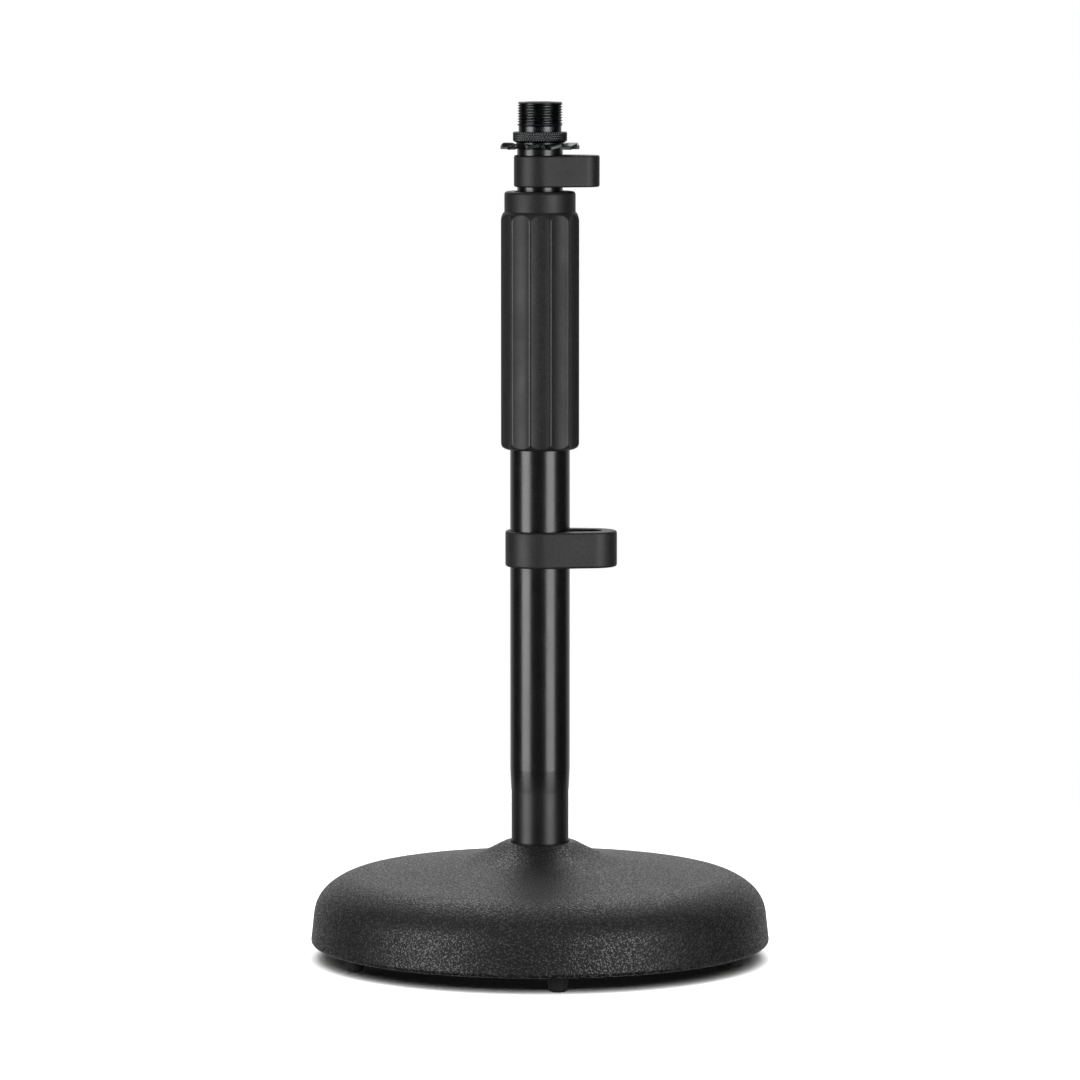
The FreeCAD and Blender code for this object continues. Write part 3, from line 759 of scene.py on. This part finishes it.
class MICSTAND_OT_lock_washer(Operator):
    """Build the star washer with its twisted teeth"""

    bl_idname = "micstand.lock_washer"
    bl_label = "Lock washer"

    def execute(self, context):
        sizes = context.scene.mic_stand_top
        low = reach("inner_tube")[1]
        bore, ring, tip = sizes.washer_bore, sizes.washer_radius, sizes.tooth_tip
        section = ring_shape(bore, tip, low, low + sizes.washer, dense={0: 0.35 * MM, 2: 0.35 * MM})

        def toothed(radius, height, angles):
            """The ring's radius is stretched out to a straight-sided tooth, and the tooth is tilted
            about its middle line."""
            share = FULL_TURN / sizes.teeth
            away = np.mod(angles - sizes.tooth_phase + share / 2, share) - share / 2
            tiny = 0.02  # keeps the division from running off on a tooth's middle line
            side = sizes.tooth_width / 2 / np.maximum(np.abs(np.sin(away)), tiny)
            reached = soft_least(tip / np.cos(away), side, 1.4 * MM)
            reached = -soft_least(-reached, -ring, 0.9 * MM)  # the larger of the two
            radius = bore + (radius - bore) * (reached - bore) / (tip - bore)
            tilt = math.tan(sizes.tooth_twist) * ramp(radius, ring - 0.4 * MM, ring + 1.0 * MM)
            return radius, height + tilt * radius * np.sin(away)

        make_piece("star_washer", "tumbled_spring_steel",
                   turned(section, 60 * sizes.teeth, toothed))
        return {"FINISHED"}


class MICSTAND_OT_adapter(Operator):
    """Build the stud and the thread adapter with its knurled flange and 5/8 inch thread"""

    bl_idname = "micstand.adapter"
    bl_label = "Thread adapter"

    def execute(self, context):
        sizes = context.scene.mic_stand_top
        steel = "black_oxide_steel"
        low, high, flange = reach("thread_adapter")
        stud_low, stud_high, plug = reach("top_stud")
        stud = sizes.stud_radius
        bore = stud + 0.06 * MM
        crest = sizes.thread_radius
        start = low + sizes.thread_start
        chamfer, point, edge = 0.6 * MM, 0.5 * MM, 0.12 * MM
        seat, top = low + sizes.seat, low + sizes.flange_top
        step = crest - sizes.neck_radius
        collar = outline([
            (bore, low, edge), (sizes.seat_radius, low, edge),
            (sizes.seat_radius, seat, edge), (flange - chamfer, seat, edge),
            (flange, seat + chamfer, edge), (flange, top - chamfer / 2, edge),
            (flange - chamfer / 2, top, edge), (bore, top, edge),
        ], dense={4: 0.1 * MM}, arc_points=3)
        sunk = top - 1 * MM  # the barrel starts inside the collar, so that the two are one body
        barrel = outline([
            (bore + edge, sunk, edge), (sizes.neck_radius, sunk, edge),
            (sizes.neck_radius, start - step, edge), (crest, start, edge),
            (crest, high - point, edge), (crest - point, high, edge),
            (bore + chamfer, high, edge), (bore + edge, high - chamfer, edge),
        ], dense={3: 0.035 * MM}, arc_points=5)
        thread = threaded(sizes.thread_pitch, crest, start, high + 0.2 * MM)
        around = round(FULL_TURN * flange / sizes.knurl_pitch)
        lean = sizes.knurl_pitch / math.tan(sizes.knurl_lean)

        def knurled(radius, height, angles):
            """The radius less the deeper of two families of V grooves that lean opposite ways."""
            turn = around * angles / FULL_TURN
            rise = (height - seat) / lean
            half = 0.3125  # of the spacing, from a groove's middle to its edge
            away = (np.abs(np.mod(turn + way * rise, 1) - 0.5) for way in (-1, 1))
            grooves = [depth * (1 - np.minimum(across / half, 1))
                       for across, depth in zip(away, (1.0, 0.45))]
            inside = between(height, seat + 0.5 * MM, top - 0.2 * MM, 0.3 * MM)
            cut = sizes.knurl_depth * np.maximum(*grooves) * inside * (radius > flange - 0.02 * MM)
            return radius - cut, height

        make_piece("thread_adapter", steel, turned(collar, 8 * around, knurled),
                   turned(barrel, 144, thread))
        shoulder, tip = stud_high - 13.5 * MM, 0.8 * MM
        pin = outline([
            (0, stud_low, 0), (plug, stud_low, 0.3 * MM),
            (plug, shoulder, 0.3 * MM), (stud, shoulder, 0.2 * MM),
            (stud, stud_high - tip, 0.2 * MM), (stud - tip, stud_high, 0.2 * MM),
            (0, stud_high, 0),
        ], ring=False, dense={3: 0.15 * MM})
        turns = threaded(sizes.stud_pitch, stud, shoulder + 0.5 * MM, stud_high)
        make_piece("top_stud", steel, turned(pin, 128, turns))
        return {"FINISHED"}


def straight(start, end, count):
    """Points on a line, closer together near its end."""
    share = 1 - (1 - np.linspace(0, 1, count, endpoint=False)) ** 1.5
    return start + (end - start) * share[:, None]


def on_circle(radius, turn, centre=0):
    """The place at an angle, or at many, on a circle about a centre on the X axis."""
    return np.stack([centre + radius * np.cos(turn), radius * np.sin(turn)], axis=-1)


def arc(radius, start, end, count, centre=0):
    """Points along such a circle from one angle to another."""
    return on_circle(radius, np.linspace(start, end, count, endpoint=False), centre)


def clip_walls(outer, end, end_centre, bore, slot, slot_end, slot_centre, mouth_from, mouth_to):
    """The outer and inner edge of a clip's wall, point for point, from one side of its mouth to the
    other: a belt round two circles, and in it the tube's bore and a belt round two smaller ones."""
    lean = math.acos((outer - end) / end_centre)
    slot_lean = math.acos((slot - slot_end) / slot_centre)
    slot_near = on_circle(slot, slot_lean)
    slot_far = on_circle(slot_end, slot_lean, slot_centre)
    way = unit(slot_far - slot_near)
    along = slot_near @ way
    neck = slot_near + way * (math.sqrt(bore ** 2 - slot_near @ slot_near + along ** 2) - along)
    neck_angle = math.atan2(neck[1], neck[0])
    near = on_circle(outer, lean)
    far = on_circle(end, lean, end_centre)
    beside_neck = near + (far - near) * (neck[0] - near[0] + 1.5 * MM) / (far[0] - near[0])
    flip = np.array([1, -1])
    mouth = on_circle(outer / math.cos(mouth_from - lean), mouth_from)
    outside = [
        arc(outer, mouth_to, FULL_TURN - lean, 48),
        straight(near * flip, beside_neck * flip, 18),
        straight(beside_neck * flip, far * flip, 14),
        arc(end, -lean, lean, 40, end_centre),
        straight(beside_neck, far, 14)[::-1],
        straight(mouth, beside_neck, 18)[::-1],
    ]
    inside = [
        arc(bore, mouth_to, FULL_TURN - lean, 48),
        arc(bore, FULL_TURN - lean, FULL_TURN - neck_angle, 18),
        straight(neck * flip, slot_far * flip, 14),
        arc(slot_end, -slot_lean, slot_lean, 40, slot_centre),
        straight(neck, slot_far, 14)[::-1],
        arc(bore, mouth_from, neck_angle, 18)[::-1],
    ]
    return np.concatenate(outside), np.concatenate(inside)


def clip_surface(outside, inside, low, high, outer_round, inner_round):
    """An eased four-cornered section carried along the clip's wall, with a half-round lip at each
    side of the mouth. Distances in the section are counted from the nearer face of the wall."""
    nominal = 8 * outer_round
    section = outline([
        (0, high, outer_round),
        (0, low, outer_round),
        (nominal, low, inner_round),
        (nominal, high, inner_round),
    ])
    thickness = np.linalg.norm(inside - outside, axis=1)
    across = (inside - outside) / thickness[:, None]
    depth = section[:, 0][None, :]
    depth = np.where(depth > nominal / 2, depth - nominal + thickness[:, None], depth)
    flat = outside[:, None, :] + across[:, None, :] * depth[..., None]
    height = np.broadcast_to(section[:, 1], depth.shape)
    grid = np.concatenate([flat, height[..., None]], axis=-1)
    middle = (low + high) / 2
    lips = []
    for row, beside in ((0, 1), (-1, -2)):
        centre = np.append((outside[row] + inside[row]) / 2, middle)
        away = np.append(unit(outside[row] + inside[row] - outside[beside] - inside[beside]), 0)
        side = np.append(across[row], 0)
        size = thickness[row] / 2
        turn = np.radians([15, 30, 45, 60, 75, 86])[:, None, None]  # of the half round, to its tip
        offset = grid[row] - centre
        sideways = (offset @ side)[:, None] * side
        upward = offset * np.array([0, 0, 1])
        shrink = 1 - (1 - np.cos(turn)) * size / (high - low) * 2
        lips.append(centre + sideways * np.cos(turn) + upward * shrink + away * size * np.sin(turn))
    return np.concatenate([lips[0][::-1], grid, lips[1]])


class MICSTAND_OT_cable_clips(Operator):
    """Build the cable clip on each tube"""

    bl_idname = "micstand.cable_clips"
    bl_label = "Cable clips"

    def execute(self, context):
        sizes = context.scene.mic_stand_clips
        clips = (("upper_cable_clip", "inner_tube"), ("lower_cable_clip", "outer_tube"))
        for number, (name, tube) in enumerate(clips):
            end, slot, slot_end, wall, rounding = (
                pair[number]
                for pair in (sizes.end, sizes.slot, sizes.slot_end, sizes.wall, sizes.rounding))
            low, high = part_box(name)
            outer = -low.x
            bore = reach(tube)[2] + RUNNING_GAP
            easing = (outer - bore) / 2 / outer
            walls = clip_walls(outer, end, high.x - end, bore, slot, slot_end,
                               high.x - wall - slot_end,
                               sizes.mouth_from - easing, sizes.mouth_to + easing)
            grid = clip_surface(*walls, low.z, high.z, rounding, 0.25 * MM)
            make_piece(name, "moulded_polypropylene", grid, capped=True)
        return {"FINISHED"}


# --- stage


class MICSTAND_OT_stage(Operator):
    """Set out the sheet on the table, the studio light and the camera"""

    bl_idname = "micstand.stage"
    bl_label = "Stage"

    def execute(self, context):
        sizes = context.scene.mic_stand_studio
        sheet = self.sheet(sizes.sheet_radius)
        self.room(context.scene)
        lights = (
            # name, azimuth, distance, height, height aimed at, width, height, watts, sheet
            ("softbox_left", -56, 1.0, 0.17, 0.17, 0.6, 0.7, 8.9, "EXCLUDE"),
            ("softbox_right", 41, 1.0, 0.17, 0.17, 0.58, 0.7, 8.2, "EXCLUDE"),
            ("back_light", 180, 0.7, 1.0, 0.0, 0.8, 0.8, 5.5, None),
            ("sheet_light", 0, 1.0, 1.1, 0.0, 1.5, 1.5, 60, "INCLUDE"),
        )
        for values in lights:
            self.light(sheet, *values)
        self.camera(context.scene, sizes)
        context.scene.view_settings.view_transform = "Standard"
        return {"FINISHED"}

    def sheet(self, radius):
        """A round sheet on the table."""
        turn = np.linspace(0, FULL_TURN, 128, endpoint=False)
        rim = np.stack([radius * np.cos(turn), radius * np.sin(turn), 0 * turn], axis=-1)
        mesh = bpy.data.meshes.new("sheet")
        mesh.from_pydata(rim.tolist(), [], [list(range(len(rim)))])
        mesh.materials.append(finish("matte_paper"))
        sheet = bpy.data.objects.new("sheet", mesh)
        sheet.visible_glossy = False
        bpy.context.scene.collection.objects.link(sheet)
        return sheet

    def room(self, scene):
        """A white room that is bright behind and above the stand and dark behind the camera."""
        world = bpy.data.worlds.new("studio")
        world.use_nodes = True
        world.node_tree.nodes.clear()
        way = node(world, "TexCoord", output="Generated")
        along, up = (node(world, "SeparateXYZ", {"Vector": way}, axis) for axis in "YZ")
        behind = node(world, "MapRange", {"Value": along, "From Min": 0.4, "To Min": 0.01,
                                          "To Max": 0.85})
        above = node(world, "MapRange", {"Value": up, "From Min": 0.5, "From Max": 0.95,
                                         "To Max": 0.6})
        light = node(world, "Math", {0: behind, 1: above}, operation="ADD")
        seen = node(world, "LightPath", output="Is Camera Ray")
        level = node(world, "Mix", {"Factor": seen, "A": light, "B": 1.0})
        shine = node(world, "Background", {"Color": (1, 1, 1, 1), "Strength": level})
        node(world, "OutputWorld", {"Surface": shine})
        scene.world = world

    def light(self, sheet, name, azimuth, distance, height, aim, width, tall, watts, state):
        """An area light that faces the pole, azimuth degrees to the right of the camera. EXCLUDE
        keeps it off the sheet, INCLUDE off everything else, and with None it shines on all."""
        lamp = bpy.data.lights.new(name, "AREA")
        lamp.shape = "RECTANGLE"
        lamp.size, lamp.size_y = width, tall
        lamp.energy = watts
        box = bpy.data.objects.new(name, lamp)
        turn = math.radians(azimuth)
        box.location = (distance * math.sin(turn), -distance * math.cos(turn), height)
        box.rotation_euler = (math.atan2(distance, height - aim), 0, turn)
        bpy.context.scene.collection.objects.link(box)
        if state:
            receivers = bpy.data.collections.new(f"{name}_receivers")
            receivers.objects.link(sheet)
            receivers.collection_objects[0].light_linking.link_state = state
            box.light_linking.receiver_collection = receivers

    def camera(self, scene, sizes):
        """The camera in front of the stand, looking a little down."""
        lens = bpy.data.cameras.new("camera")
        lens.lens = sizes.focal_length
        lens.sensor_width = 36
        lens.clip_start, lens.clip_end = 0.1, 100
        camera = bpy.data.objects.new("camera", lens)
        camera.location = (0, -sizes.camera_distance, sizes.camera_height)
        camera.rotation_euler = (math.pi / 2 - sizes.camera_pitch, 0, 0)
        scene.collection.objects.link(camera)
        scene.camera = camera


OPERATORS = (
    MICSTAND_OT_base, MICSTAND_OT_feet, MICSTAND_OT_fixings, MICSTAND_OT_tubes, MICSTAND_OT_clutch,
    MICSTAND_OT_grip, MICSTAND_OT_lock_washer, MICSTAND_OT_adapter, MICSTAND_OT_cable_clips,
    MICSTAND_OT_stage,
)
GROUPS = {
    "mic_stand_base": BaseSizes,
    "mic_stand_tubes": TubeSizes,
    "mic_stand_grip": GripSizes,
    "mic_stand_top": TopSizes,
    "mic_stand_clips": ClipSizes,
    "mic_stand_finishes": Finishes,
    "mic_stand_studio": StudioSizes,
}


class MICSTAND_PT_panel(Panel):
    """Sizes, finishes and the steps that build the stand"""

    bl_label = "Mic stand"
    bl_idname = "MICSTAND_PT_panel"
    bl_space_type = "VIEW_3D"
    bl_region_type = "UI"
    bl_category = "Mic stand"

    def draw(self, context):
        for operator in OPERATORS:
            self.layout.operator(operator.bl_idname)
        for name, group in GROUPS.items():
            column = self.layout.box().column()
            for field in group.__annotations__:
                column.prop(getattr(context.scene, name), field)


def register():
    """Register the classes and hang the sizes on the scene."""
    for name, group in GROUPS.items():
        bpy.utils.register_class(group)
        setattr(bpy.types.Scene, name, PointerProperty(type=group))
    for item in (*OPERATORS, MICSTAND_PT_panel):
        bpy.utils.register_class(item)


def unregister():
    """Take the classes and the sizes away again."""
    for item in (MICSTAND_PT_panel, *reversed(OPERATORS)):
        bpy.utils.unregister_class(item)
    for name, group in GROUPS.items():
        delattr(bpy.types.Scene, name)
        bpy.utils.unregister_class(group)


def main():
    """Register the classes, then build every piece."""
    register()
    for operator in OPERATORS:
        group, name = operator.bl_idname.split(".")
        getattr(getattr(bpy.ops, group), name)()


if __name__ == "__main__":
    main()
